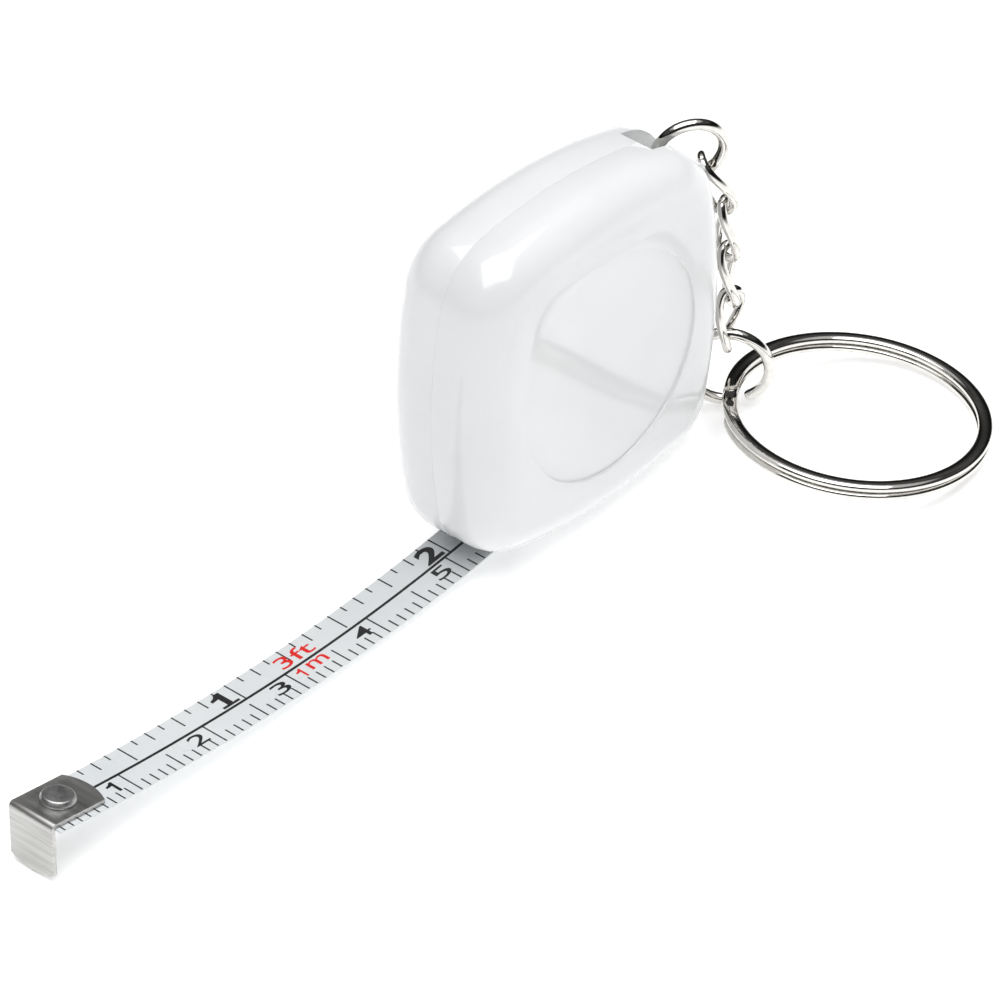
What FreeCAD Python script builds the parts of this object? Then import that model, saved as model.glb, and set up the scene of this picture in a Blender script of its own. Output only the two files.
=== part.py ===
"""Key-ring pocket tape measure: a 33 mm square case, a 1 m steel tape and a chain with a split ring.

Every piece is drawn in a working frame with X forward (the way the tape comes out), Y to the left
and Z up, and its Placement then sets it in the assembly, whose origin is on the ground below the
middle of the object. The case stands tipped back a little on its round bottom edge, because the
hook's tab holds the tape's free end up.
"""
import FreeCAD, Part
import math
import os
import Sketcher
from FreeCAD import Placement, Rotation, Vector

doc = FreeCAD.newDocument("tape_measure")
sheet = doc.addObject("Spreadsheet::Sheet", "dims")

# Driving dimensions in millimetres and degrees: alias, value, what it is.
DRIVING = [
    # how the object stands
    ("tape_pitch", 3.2, "front-up tilt of the tape's chord"),
    ("case_pitch", 4.15, "front-up tilt of the case"),
    ("tape_x", 48.79, "tape zero, forward of the origin"),
    ("tape_height", 5.49, "tape zero above the ground"),
    ("case_x", -15.49, "case centre, forward of the origin"),
    ("case_height", 16.74, "case centre above the ground"),
    ("tape_y", -10.68, "tape centre plane"),
    # case
    ("case_half", 16.35, "half the case's side"),
    ("side_radius", 50.0, "radius of the bulging sides"),
    ("corner_radius", 6.4, "radius of the corners, seen from the side"),
    ("rim_radius", 4.1, "rounding from the rim to the flat sides"),
    ("seam_y", 0.82, "parting plane, left of the tape's centre"),
    ("left_y", 6.66, "left face"),
    ("right_y", -5.51, "right face"),
    ("wall", 1.3, "thickness of the flat sides"),
    ("cavity_radius", 14.6, "round cavity for the spool"),
    ("cavity_round", 2.0, "rounding of the cavity's floor"),
    ("recess_radius", 10.84, "label recess in the left face"),
    ("recess_depth", 0.3, "depth of the label recess"),
    ("slot_low", -1.15, "right wall of the ring slot"),
    ("slot_high", 2.5, "left wall of the ring slot"),
    ("slot_radius", 5.9, "scoop of the ring slot"),
    ("slot_reach", 20.9, "scoop centre from the case centre"),
    ("slot_angle", 137.0, "direction of the scoop from the case centre"),
    ("post_x", -14.6, "ring post, from the case centre"),
    ("post_z", 11.26, "ring post, from the case centre"),
    ("post_radius", 0.75, "ring post"),
    ("post_root", 0.3, "ring post's root in the right wall of the slot"),
    ("post_reach", 1.0, "ring post beyond the left wall of the slot"),
    ("peg_radius", 0.9, "locating pegs of the shells"),
    ("peg_length", 1.8, "locating pegs beyond the parting plane"),
    ("peg_root", 0.5, "locating pegs behind the parting plane"),
    ("peg_reach", 17.0, "peg from the case centre along the diagonal"),
    ("end_play", 0.2, "room beyond the end of a peg or of the ring post"),
    ("fit_gap", 0.05, "radial clearance of pegs, shafts and the button"),
    ("mouth_half", 3.1, "half the mouth's width"),
    ("mouth_above", 0.5, "mouth above the tape"),
    ("mouth_below", 0.45, "mouth below the tape"),
    ("mouth_in", 13.0, "mouth channel from the tape's last bend inwards"),
    ("mouth_out", 9.0, "mouth channel from the tape's last bend outwards"),
    # tape
    ("tape_half", 2.8, "half the tape's width"),
    ("tape_thick", 0.15, "tape thickness"),
    ("hook_angle", 8.46, "downward slope of the tape behind the hook"),
    ("sag_radius_front", 216.5, "bend of the tape's front half"),
    ("sag_radius_rear", 160.8, "bend of the tape's rear half"),
    ("sag_front", 27.0, "length of the front bend"),
    ("sag_rear", 26.0, "length of the rear bend"),
    ("coil_outer", 13.96, "outer radius of the wound tape"),
    ("barrel_radius", 12.36, "spool barrel under the tape"),
    # hook
    ("hook_thick", 0.45, "hook sheet"),
    ("plate_slope", 7.5, "slope of the hook's top plate, which spans the tape's bend"),
    ("hook_gap", 0.02, "hook above the tape"),
    ("hook_right", -2.75, "right edge of the hook"),
    ("hook_left", 2.2, "left edge of the hook"),
    ("hook_edge_length", 6.2, "top plate at its edges"),
    ("hook_bulge", 0.7, "extra length of the plate's and the tab's rounded ends"),
    ("tab_drop", 4.75, "tab below the tape at its edges"),
    ("bend_radius", 0.75, "outside bend of the hook"),
    ("rivet_radius", 1.58, "rivet head"),
    ("rivet_height", 0.6, "rivet head above the plate"),
    ("rivet_shank", 0.8, "radius of the rivet's holes"),
    ("rivet_play", 0.03, "rivet shank, thinner than its holes"),
    ("rivet_brim", 0.25, "upright edge of the rivet's head"),
    ("rivet_chamfer", 0.22, "slope from the head's edge to its flat top"),
    ("rivet_foot", 0.3, "height of the rivet's foot under the tape"),
    ("rivet_foot_wide", 0.25, "rivet's foot beyond its shank"),
    ("rivet_x", -3.15, "rivet behind the tape zero"),
    ("rivet_y", -0.25, "rivet, left of the tape's centre"),
    # spool, axle and spring
    ("axle_radius", 1.8, "spool axle, outside"),
    ("axle_bore", 1.05, "spool axle, bore for the button stem"),
    ("axle_low", -3.9, "axle's right end"),
    ("axle_high", 3.45, "axle's left end"),
    ("spool_low", -2.95, "spool's right face"),
    ("spool_high", 2.85, "spool's left face"),
    ("web", 0.7, "spool web and cover thickness"),
    ("barrel_wall", 0.9, "spool barrel thickness"),
    ("hub_radius", 3.0, "spool hub"),
    ("spring_inner", 3.5, "power spring, inner radius"),
    ("spring_pitch", 0.62, "power spring, growth for each turn"),
    ("spring_turns", 12, "power spring turns"),
    ("spring_thick", 0.2, "power spring strip"),
    ("spring_half", 1.95, "half the power spring's width"),
    # release button and brake
    ("button_radius", 5.0, "release button"),
    ("button_low", -6.1, "button's outer face"),
    ("button_cap", 1.0, "button cap thickness"),
    ("cap_round", 0.3, "rounding of the button's outer edge"),
    ("skirt_depth", 0.45, "button skirt below the cap"),
    ("skirt_wall", 0.7, "button skirt thickness"),
    ("cup_floor", -3.9, "floor of the button's cup"),
    ("cup_floor_thick", 0.8, "floor of the button's cup"),
    ("cup_wall", 0.8, "wall of the cup beyond the button's radius"),
    ("stem_radius", 0.95, "button stem"),
    ("stem_high", 4.6, "stem's left end"),
    ("pad_inner", 5.5, "brake pad, inner radius"),
    ("pad_outer", 8.5, "brake pad, outer radius"),
    ("pad_low", 2.88, "brake pad's working face"),
    ("pad_thick", 0.6, "brake pad"),
    ("disc_radius", 9.2, "brake disc"),
    ("disc_thick", 0.6, "brake disc"),
    ("clip_radius", 2.4, "push nut on the stem"),
    ("clip_thick", 0.3, "push nut on the stem"),
    ("button_spring_radius", 2.7, "button spring, mean radius"),
    ("button_spring_wire", 0.22, "button spring wire diameter"),
    ("button_spring_turns", 2.5, "button spring turns"),
    ("button_spring_play", 0.02, "button spring, short of its two seats"),
    # chain and rings, in the assembly frame
    ("ring_wire", 1.05, "wire of the two jump rings"),
    ("case_ring_radius", 3.06, "mean radius of the ring on the case"),
    ("case_ring_x", -31.43, "ring on the case, centre"),
    ("case_ring_y", -8.75, "ring on the case, centre"),
    ("case_ring_z", 28.02, "ring on the case, centre"),
    ("end_ring_radius", 3.74, "mean radius of the ring at the chain's end"),
    ("end_ring_x", -33.5, "ring at the chain's end, centre"),
    ("end_ring_y", -6.83, "ring at the chain's end, centre"),
    ("end_ring_z", 4.53, "ring at the chain's end, centre"),
    ("ring_gap", 14.0, "opening angle of the jump rings"),
    ("link_wire", 0.85, "wire of the chain links"),
    ("link_half_width", 1.4, "centre line of a link's side from its middle"),
    ("link_twist", -80.0, "twist of a link between its two ends"),
    ("link_turn", -7.0, "direction in which the first link faces"),
    ("link_step", -24.0, "turn from one link to the next"),
    ("link_slack", 0.24, "play of the links on each other"),
    ("chain_bow_1", 1.3, "chain's first joint, out from the straight line"),
    ("chain_bow_2", 1.08, "chain's middle joint, out from the straight line"),
    ("chain_bow_3", 0.86, "chain's third joint, out from the straight line"),
    ("top_play", 0.5, "first link's crown above the steep wire of the upper ring"),
    ("bottom_play", 0.25, "last link's crown below the wire of the lower ring"),
    ("split_ring_radius", 11.2, "mean radius of the split ring"),
    ("split_ring_width", 1.35, "strip of the split ring, across"),
    ("split_ring_height", 0.78, "strip of the split ring, height"),
    ("split_ring_pitch", 0.83, "rise of the split ring's coil for each turn"),
    ("split_ring_gap", 8.0, "angle by which the split ring falls short of two turns"),
    ("split_ring_x", -37.21, "split ring, centre"),
    ("split_ring_y", 4.89, "split ring, centre"),
    ("split_ring_z", 2.66, "split ring, centre"),
    ("split_ring_lean_x", -0.1457, "split ring's normal, X part"),
    ("split_ring_lean_y", 0.0573, "split ring's normal, Y part"),
]
for row, (alias, value, meaning) in enumerate(DRIVING, start=1):
    sheet.set(f"A{row}", alias)
    sheet.set(f"B{row}", str(value))
    sheet.set(f"C{row}", meaning)
    sheet.setAlias(f"B{row}", alias)
doc.recompute()

LINK_COUNT = 4
PIECES = []


def dim(alias):
    """The value of a cell, in millimetres or degrees."""
    return float(getattr(sheet, alias))


# ---------------------------------------------------------------- where the pieces stand

def frame_placement(x, height, pitch):
    """A working frame tipped front-up by pitch, with its origin above the ground."""
    return Placement(Vector(x, dim("tape_y"), height), Rotation(Vector(0, 1, 0), -pitch))


CASE_FRAME = frame_placement(dim("case_x"), dim("case_height"), dim("case_pitch"))
TAPE_FRAME = frame_placement(dim("tape_x"), dim("tape_height"), dim("tape_pitch"))


def finish(piece, placement):
    """Set a finished piece in the assembly and list it for export."""
    piece.Placement = placement
    PIECES.append(piece)


# ---------------------------------------------------------------- sketch and feature helpers

def new_body(name):
    body = doc.addObject("PartDesign::Body", name)
    body.Label = name
    return body


def origin_plane(body, role):
    return next(item for item in body.Origin.OriginFeatures if item.Role == role)


def new_sketch(body, role, name, offset="0"):
    """A sketch on an origin plane; offset is an expression along the plane's normal."""
    sketch = body.newObject("Sketcher::SketchObject", name)
    sketch.AttachmentSupport = [(origin_plane(body, role), "")]
    sketch.MapMode = "FlatFace"
    sketch.setExpression("AttachmentOffset.Base.z", offset)
    return sketch


def side_sketch(body, name, y_expression):
    """A sketch seen from the side, X and Z in it, standing at the given Y."""
    return new_sketch(body, "XZ_Plane", name, f"-({y_expression})")


def bind(sketch, constraint, expression):
    """Add a constraint whose value comes from the sheet."""
    index = sketch.addConstraint(constraint)
    sketch.setExpression(f"Constraints[{index}]", expression)
    return index


def add_circle(sketch, x, z, radius, x_expression=None, z_expression=None):
    """A circle with a bound radius; its centre is at the origin or bound as well."""
    centre = Vector(x, z, 0)
    circle = sketch.addGeometry(Part.Circle(centre, Vector(0, 0, 1), dim(radius)), False)
    bind(sketch, Sketcher.Constraint("Radius", circle, dim(radius)), f"dims.{radius}")
    if x_expression is None:
        sketch.addConstraint(Sketcher.Constraint("Coincident", circle, 3, -1, 1))
    else:
        bind(sketch, Sketcher.Constraint("DistanceX", -1, 1, circle, 3, x), x_expression)
        bind(sketch, Sketcher.Constraint("DistanceY", -1, 1, circle, 3, z), z_expression)
    return circle


def add_sized_circle(sketch, radius, expression):
    """A circle about the origin whose radius is a sum of cells."""
    circle = sketch.addGeometry(Part.Circle(Vector(), Vector(0, 0, 1), radius), False)
    sketch.addConstraint(Sketcher.Constraint("Coincident", circle, 3, -1, 1))
    bind(sketch, Sketcher.Constraint("Radius", circle, radius), expression)


def block_all(sketch, edges):
    """Add edges that formulas have placed, and lock them there."""
    for edge in edges:
        sketch.addConstraint(Sketcher.Constraint("Block", sketch.addGeometry(edge, False)))


def add_polygon(sketch, points):
    """A closed outline of straight edges, locked where the formulas put it."""
    corners = [Vector(*point, 0) for point in points]
    block_all(sketch, [Part.LineSegment(*ends) for ends in zip(corners, corners[1:] + corners[:1])])


def add_ring(sketch, inner, outer):
    add_circle(sketch, 0, 0, inner)
    add_circle(sketch, 0, 0, outer)


def add_feature(body, kind, name, sketch, length=None, reversed_side=False):
    """A pad or pocket of a sketch, with its length bound to the sheet."""
    feature = body.newObject(f"PartDesign::{kind}", name)
    feature.Profile = sketch
    if length is not None:
        feature.setExpression("Length", length)
    feature.Reversed = reversed_side
    sketch.Visibility = False
    doc.recompute()
    return feature


def pad_from(body, name, draw, low, high):
    """Pad a side-view outline from y = low to y = high (expressions)."""
    sketch = side_sketch(body, f"{name}_sketch", low)
    draw(sketch)
    return add_feature(body, "Pad", name, sketch, f"({high}) - ({low})", reversed_side=True)


def pocket_from(body, name, draw, low, high):
    """Cut a side-view outline out of the body from y = low to y = high (expressions)."""
    sketch = side_sketch(body, f"{name}_sketch", low)
    draw(sketch)
    before = body.Shape.Volume
    cut = add_feature(body, "Pocket", name, sketch, f"({high}) - ({low})")
    if body.Shape.Volume > before - 1e-3:
        raise RuntimeError(f"{name} cuts nothing")
    return cut


def edges_at(shape, y, least_radius=0.0):
    """Names of the edges that lie in the plane at y, outside a radius from the axis."""
    names = []
    for index, edge in enumerate(shape.Edges, start=1):
        box = edge.BoundBox
        reach = max(math.hypot(v.X, v.Z) for v in edge.Vertexes)
        if abs(box.YMin - y) < 1e-4 and abs(box.YMax - y) < 1e-4 and reach >= least_radius:
            names.append(f"Edge{index}")
    return names


def round_edges(body, name, base, edges, radius):
    fillet = body.newObject("PartDesign::Fillet", name)
    fillet.Base = (base, edges)
    fillet.setExpression("Radius", radius)
    doc.recompute()
    return fillet


# ---------------------------------------------------------------- case shells

def draw_rounded_square(sketch):
    """The case seen from the side: four bulging sides joined by tangent corner arcs."""
    half, side, corner = dim("case_half"), dim("side_radius"), dim("corner_radius")
    inset = half - side
    # the corner's centre sits on the diagonal, inside-tangent to both neighbouring sides
    middle = inset / 2
    spread = math.sqrt(2 * (side - corner) ** 2 - inset ** 2) / 2
    centre = middle + spread
    touch = math.atan2(centre, centre - inset)
    arcs = []
    for turn in range(4):
        angle = turn * math.pi / 2
        ahead = Vector(math.cos(angle), math.sin(angle), 0)
        across = Vector(-math.sin(angle), math.cos(angle), 0)
        circle = Part.Circle(ahead * inset, Vector(0, 0, 1), side)
        arcs.append(sketch.addGeometry(Part.ArcOfCircle(circle, angle - touch, angle + touch), False))
        circle = Part.Circle((ahead + across) * centre, Vector(0, 0, 1), corner)
        ending = angle + math.pi / 2 - touch
        arcs.append(sketch.addGeometry(Part.ArcOfCircle(circle, angle + touch, ending), False))
    for index, arc in enumerate(arcs):
        following = arcs[(index + 1) % len(arcs)]
        sketch.addConstraint(Sketcher.Constraint("Tangent", arc, 2, following, 1))
    for arc in arcs[2::2]:
        sketch.addConstraint(Sketcher.Constraint("Equal", arcs[0], arc))
    for arc in arcs[3::2]:
        sketch.addConstraint(Sketcher.Constraint("Equal", arcs[1], arc))
    bind(sketch, Sketcher.Constraint("Radius", arcs[0], side), "dims.side_radius")
    bind(sketch, Sketcher.Constraint("Radius", arcs[1], corner), "dims.corner_radius")
    horizontal, vertical = -1, -2
    for arc, axis in zip(arcs[0::2], (horizontal, vertical) * 2):
        # each side's centre lies on an axis, at the same distance beyond the middle
        sketch.addConstraint(Sketcher.Constraint("PointOnObject", arc, 3, axis))
    spread_expression = "dims.side_radius - dims.case_half"
    bind(sketch, Sketcher.Constraint("DistanceX", arcs[0], 3, -1, 1, side - half), spread_expression)
    bind(sketch, Sketcher.Constraint("DistanceY", arcs[2], 3, -1, 1, side - half), spread_expression)
    bind(sketch, Sketcher.Constraint("DistanceX", -1, 1, arcs[4], 3, side - half), spread_expression)
    bind(sketch, Sketcher.Constraint("DistanceY", -1, 1, arcs[6], 3, side - half), spread_expression)


def tape_line_in_case():
    """Where the tape's straight run into the case lies: a point and its inward direction."""
    (x, z), angle = blade_joints()[2]
    out = CASE_FRAME.inverse().multVec(TAPE_FRAME.multVec(Vector(x, 0, z)))
    direction = Vector(-math.cos(angle), 0, -math.sin(angle))
    direction = CASE_FRAME.Rotation.inverted().multVec(TAPE_FRAME.Rotation.multVec(direction))
    return out, direction


def draw_mouth(sketch):
    """The mouth: a channel along the tape that opens under the front bottom corner."""
    out, inward = tape_line_in_case()
    up = Vector(inward.z, 0, -inward.x)
    first, last = dim("mouth_in"), -dim("mouth_out")
    top, bottom = dim("mouth_above"), -dim("mouth_below") - dim("tape_thick")
    corners = []
    for along, rise in ((first, top), (last, top), (last, bottom), (first, bottom)):
        point = out + inward * along + up * rise
        corners.append((point.x, point.z))
    add_polygon(sketch, corners)


def draw_slot(sketch):
    """The scoop in the top rear corner, where the chain's first ring goes round its post."""
    reach, angle = dim("slot_reach"), math.radians(dim("slot_angle"))
    x_expression = "dims.slot_reach * cos(dims.slot_angle * 1deg)"
    z_expression = "dims.slot_reach * sin(dims.slot_angle * 1deg)"
    add_circle(sketch, reach * math.cos(angle), reach * math.sin(angle), "slot_radius",
               x_expression, z_expression)


def draw_post(sketch):
    add_circle(sketch, dim("post_x"), dim("post_z"), "post_radius", "dims.post_x", "dims.post_z")


def peg_spots():
    """Two corners hold a peg each; the ring slot and the mouth take the other two."""
    reach = dim("peg_reach")
    return [(reach * math.cos(math.radians(a)), reach * math.sin(math.radians(a))) for a in (45, 225)]


def draw_pegs(sketch, gap=0.0):
    radius = dim("peg_radius") + gap
    block_all(sketch, [Part.Circle(Vector(x, z, 0), Vector(0, 0, 1), radius) for x, z in peg_spots()])


def shell_blank(name, low, high, outer):
    """Half of the case: the rounded square padded out and rounded towards its flat side."""
    body = new_body(name)
    pad = pad_from(body, f"{name}_block", draw_rounded_square, low, high)
    face_y = dim(outer)
    round_edges(body, f"{name}_round", pad, edges_at(pad.Shape, face_y), "dims.rim_radius")
    return body


def draw_cavity(sketch):
    add_circle(sketch, 0, 0, "cavity_radius")


def round_cavity(body, floor_y):
    """Round the edge between the cavity's wall and its floor."""
    barely = 0.1
    edges = edges_at(body.Shape, floor_y, dim("cavity_radius") - barely)
    round_edges(body, f"{body.Label}_cavity_round", body.Tip, edges, "dims.cavity_round")


def build_left_shell():
    body = shell_blank("left_shell", "dims.seam_y", "dims.left_y", "left_y")
    pocket_from(body, "left_cavity", draw_cavity, "dims.seam_y", "dims.left_y - dims.wall")
    round_cavity(body, dim("left_y") - dim("wall"))
    recess = "dims.left_y - dims.recess_depth"
    pocket_from(body, "label_recess", lambda sk: add_circle(sk, 0, 0, "recess_radius"), recess, "dims.left_y")
    pocket_from(body, "left_slot", draw_slot, "dims.seam_y", "dims.slot_high")
    pocket_from(body, "left_mouth", draw_mouth, "dims.seam_y", "dims.mouth_half")
    sockets = "dims.seam_y + dims.peg_length + dims.end_play"
    pocket_from(body, "sockets", lambda sk: draw_pegs(sk, dim("fit_gap")), "dims.seam_y", sockets)
    post_socket = "dims.slot_high + dims.post_reach + dims.end_play"
    pocket_from(body, "post_socket", draw_post_socket, "dims.slot_high", post_socket)
    finish(body, CASE_FRAME)


def draw_post_socket(sketch):
    centre = Vector(dim("post_x"), dim("post_z"), 0)
    block_all(sketch, [Part.Circle(centre, Vector(0, 0, 1), dim("post_radius") + dim("fit_gap"))])


def draw_cup(sketch):
    radius = dim("button_radius") + 2 * dim("fit_gap")
    add_sized_circle(sketch, radius, "dims.button_radius + 2 * dims.fit_gap")


def draw_cup_wall(sketch):
    add_sized_circle(sketch, dim("button_radius") + dim("cup_wall"), "dims.button_radius + dims.cup_wall")


def build_right_shell():
    body = shell_blank("right_shell", "dims.right_y", "dims.seam_y", "right_y")
    pocket_from(body, "right_cavity", draw_cavity, "dims.right_y + dims.wall", "dims.seam_y")
    round_cavity(body, dim("right_y") + dim("wall"))
    cup_top = "dims.cup_floor + dims.cup_floor_thick"
    pad_from(body, "cup_block", draw_cup_wall, "dims.right_y + dims.wall / 2", cup_top)
    pocket_from(body, "button_cup", draw_cup, "dims.right_y", "dims.cup_floor")
    pocket_from(body, "axle_seat", lambda sk: add_circle(sk, 0, 0, "axle_radius"), "dims.cup_floor", cup_top)
    pocket_from(body, "right_slot", draw_slot, "dims.slot_low", "dims.seam_y")
    pad_from(body, "ring_post", draw_post,
             "dims.slot_low - dims.post_root", "dims.slot_high + dims.post_reach")
    pocket_from(body, "right_mouth", draw_mouth, "-dims.mouth_half", "dims.seam_y")
    pad_from(body, "pegs", draw_pegs, "dims.seam_y - dims.peg_root", "dims.seam_y + dims.peg_length")
    finish(body, CASE_FRAME)


# ---------------------------------------------------------------- tape

def blade_joints():
    """Points and directions along the tape's top: the hook, the bend's middle and the mouth."""
    x, z = 0.0, 0.0
    angle = math.radians(dim("hook_angle"))
    joints = [((x, z), angle)]
    for radius, length in (("sag_radius_front", "sag_front"), ("sag_radius_rear", "sag_rear")):
        r, turned = dim(radius), dim(length) / dim(radius)
        x -= r * (math.sin(angle) - math.sin(angle - turned))
        z -= r * (math.cos(angle - turned) - math.cos(angle))
        angle -= turned
        joints.append(((x, z), angle))
    return joints


def coil_touch():
    """Where the straight run from the mouth meets the wound tape, in the tape's frame."""
    (x, z), angle = blade_joints()[2]
    centre = TAPE_FRAME.inverse().multVec(CASE_FRAME.multVec(Vector(0, 0, 0)))
    along = (centre.x - x) * -math.cos(angle) + (centre.z - z) * -math.sin(angle)
    return x - along * math.cos(angle), z - along * math.sin(angle)


def draw_blade(sketch):
    """The free tape from the side: two gentle bends, then straight to the coil."""
    thick = dim("tape_thick")
    joints = blade_joints()
    top, under = [], []
    for (x, z), angle in joints:
        top.append(Vector(x, z, 0))
        under.append(Vector(x + thick * math.sin(angle), z - thick * math.cos(angle), 0))
    end_x, end_z = coil_touch()
    angle = joints[2][1]
    top.append(Vector(end_x, end_z, 0))
    under.append(Vector(end_x + thick * math.sin(angle), end_z - thick * math.cos(angle), 0))
    edges = []
    for line, offset in ((top, 0.0), (under, thick)):
        for index, radius in enumerate(("sag_radius_front", "sag_radius_rear")):
            (x, z), angle = joints[index]
            middle_angle = (angle + joints[index + 1][1]) / 2
            r = dim(radius)
            hub = Vector(x - r * math.sin(angle), z + r * math.cos(angle), 0)
            middle = hub + Vector(math.sin(middle_angle), -math.cos(middle_angle), 0) * (r + offset)
            edges.append(Part.Arc(line[index], middle, line[index + 1]))
        edges.append(Part.LineSegment(line[2], line[3]))
    edges.append(Part.LineSegment(top[0], under[0]))
    edges.append(Part.LineSegment(top[3], under[3]))
    block_all(sketch, edges)


# Cuts through the tape and the hook start this far in front of their origin and go this deep.
SHEET_CUT_START, SHEET_CUT_DEPTH = "2", "4"


def punch_rivet_hole(body, name):
    """The rivet's hole, seen from above."""
    sketch = new_sketch(body, "XY_Plane", f"{name}_sketch", SHEET_CUT_START)
    add_circle(sketch, dim("rivet_x"), dim("rivet_y"), "rivet_shank", "dims.rivet_x", "dims.rivet_y")
    before = body.Shape.Volume
    cut = add_feature(body, "Pocket", name, sketch, SHEET_CUT_DEPTH)
    if body.Shape.Volume >= before or not cut.isValid():
        raise RuntimeError(f"{name} cuts nothing")


def build_tape():
    blade = new_body("tape_blade")
    pad_from(blade, "blade_strip", draw_blade, "-dims.tape_half", "dims.tape_half")
    punch_rivet_hole(blade, "blade_hole")
    # the strip ends just behind the hook's tab
    sketch = new_sketch(blade, "XY_Plane", "blade_end_sketch", SHEET_CUT_START)
    beyond = 1.0
    end_x, half = -(dim("hook_thick") + dim("hook_gap")), dim("tape_half") + beyond
    add_polygon(sketch, [(end_x, -half), (beyond, -half), (beyond, half), (end_x, half)])
    add_feature(blade, "Pocket", "blade_end", sketch, SHEET_CUT_DEPTH)
    finish(blade, TAPE_FRAME)
    coil = new_body("tape_coil")
    pad_from(coil, "coil_windings", lambda sk: add_ring(sk, "barrel_radius", "coil_outer"),
             "-dims.tape_half", "dims.tape_half")
    finish(coil, CASE_FRAME)


def draw_hook_side(sketch):
    """The hook from the side: the plate that follows the tape's slope, and the tab at its front."""
    thick, angle = dim("hook_thick"), math.radians(dim("plate_slope"))
    trimmed = 0.2
    length = dim("hook_edge_length") + dim("hook_bulge") + trimmed
    back = Vector(-math.cos(angle), -math.sin(angle), 0)
    up = Vector(-math.sin(angle), math.cos(angle), 0)
    lowest = -(dim("tab_drop") + dim("hook_bulge"))
    lift = Vector(0, dim("hook_gap"), 0)
    rear_low = lift + back * length
    rear_high = rear_low + up * thick
    front_low = Vector(-thick, dim("hook_gap") - thick * math.tan(angle), 0)
    # the plate's top meets the tab's front face in a rounded bend
    corner = Vector(0, dim("hook_gap") + thick / math.cos(angle), 0)
    bend = dim("bend_radius")
    tangent = bend * math.tan((math.pi / 2 - angle) / 2)
    on_top = corner + back * tangent
    on_front = corner + Vector(0, -1, 0) * tangent
    hub = on_front + Vector(-bend, 0, 0)
    outward = corner - hub
    middle = hub + outward * (bend / outward.Length)
    edges = [
        Part.LineSegment(rear_low, rear_high),
        Part.LineSegment(rear_high, on_top),
        Part.Arc(on_top, middle, on_front),
        Part.LineSegment(on_front, Vector(0, lowest, 0)),
        Part.LineSegment(Vector(0, lowest, 0), Vector(-thick, lowest, 0)),
        Part.LineSegment(Vector(-thick, lowest, 0), front_low),
        Part.LineSegment(front_low, rear_low),
    ]
    block_all(sketch, edges)


def end_cut(start, end, bulge):
    """What is cut off beyond a convex end that bulges from start to end, seen square to the sheet."""
    over = bulge * 2
    beyond = over * (1 + 1 / bulge.Length)
    return [
        Part.Arc(start, (start + end) / 2 + bulge, end),
        Part.LineSegment(end, end + beyond),
        Part.LineSegment(end + beyond, start + beyond),
        Part.LineSegment(start + beyond, start),
    ]


def build_hook():
    body = new_body("tape_hook")
    pad_from(body, "hook_sheet", draw_hook_side, "dims.hook_right", "dims.hook_left")
    past_edge = 0.01
    left, right = dim("hook_right") - past_edge, dim("hook_left") + past_edge
    bulge = dim("hook_bulge")
    # rounded rear end of the plate, seen from above
    rear = -dim("hook_edge_length") * math.cos(math.radians(dim("plate_slope")))
    sketch = new_sketch(body, "XY_Plane", "plate_end_sketch", SHEET_CUT_START)
    block_all(sketch, end_cut(Vector(rear, left, 0), Vector(rear, right, 0), Vector(-bulge, 0, 0)))
    add_feature(body, "Pocket", "plate_end", sketch, SHEET_CUT_DEPTH)
    # rounded lower end of the tab, seen from the front
    drop = -dim("tab_drop")
    sketch = new_sketch(body, "YZ_Plane", "tab_end_sketch", SHEET_CUT_START)
    block_all(sketch, end_cut(Vector(left, drop, 0), Vector(right, drop, 0), Vector(0, -bulge, 0)))
    add_feature(body, "Pocket", "tab_end", sketch, SHEET_CUT_DEPTH)
    punch_rivet_hole(body, "rivet_hole")
    finish(body, TAPE_FRAME)


def build_rivet():
    """A flat-topped rivet, turned about its own axis and square to the hook's plate."""
    body = new_body("hook_rivet")
    sketch = new_sketch(body, "XZ_Plane", "rivet_profile")
    head, shank = dim("rivet_radius"), dim("rivet_shank") - dim("rivet_play")
    base, top = dim("hook_thick"), dim("hook_thick") + dim("rivet_height")
    brim = base + dim("rivet_brim")
    flat = head - dim("rivet_chamfer")
    under = -dim("tape_thick") - 4 * dim("hook_gap")
    low, foot = under - dim("rivet_foot"), shank + dim("rivet_foot_wide")
    add_polygon(sketch, [(0, low), (foot, low), (foot, under), (shank, under), (shank, base),
                         (head, base), (head, brim), (flat, top), (0, top)])
    turned = body.newObject("PartDesign::Revolution", "rivet_turned")
    turned.Profile = sketch
    turned.ReferenceAxis = (sketch, ["V_Axis"])
    turned.Angle = 360
    doc.recompute()
    slope = Rotation(Vector(0, 1, 0), -dim("plate_slope"))
    height = dim("hook_gap") + dim("rivet_x") * math.tan(math.radians(dim("plate_slope")))
    seat = Placement(Vector(dim("rivet_x"), dim("rivet_y"), height), slope)
    finish(body, TAPE_FRAME.multiply(seat))


# ---------------------------------------------------------------- spool, axle and power spring

def draw_spring_room(sketch):
    add_sized_circle(sketch, dim("barrel_radius") - dim("barrel_wall"),
                     "dims.barrel_radius - dims.barrel_wall")


def draw_spring_room_round_hub(sketch):
    draw_spring_room(sketch)
    add_circle(sketch, 0, 0, "hub_radius")


def draw_axle_clearance(sketch):
    add_sized_circle(sketch, dim("axle_radius") + dim("fit_gap"), "dims.axle_radius + dims.fit_gap")


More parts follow.
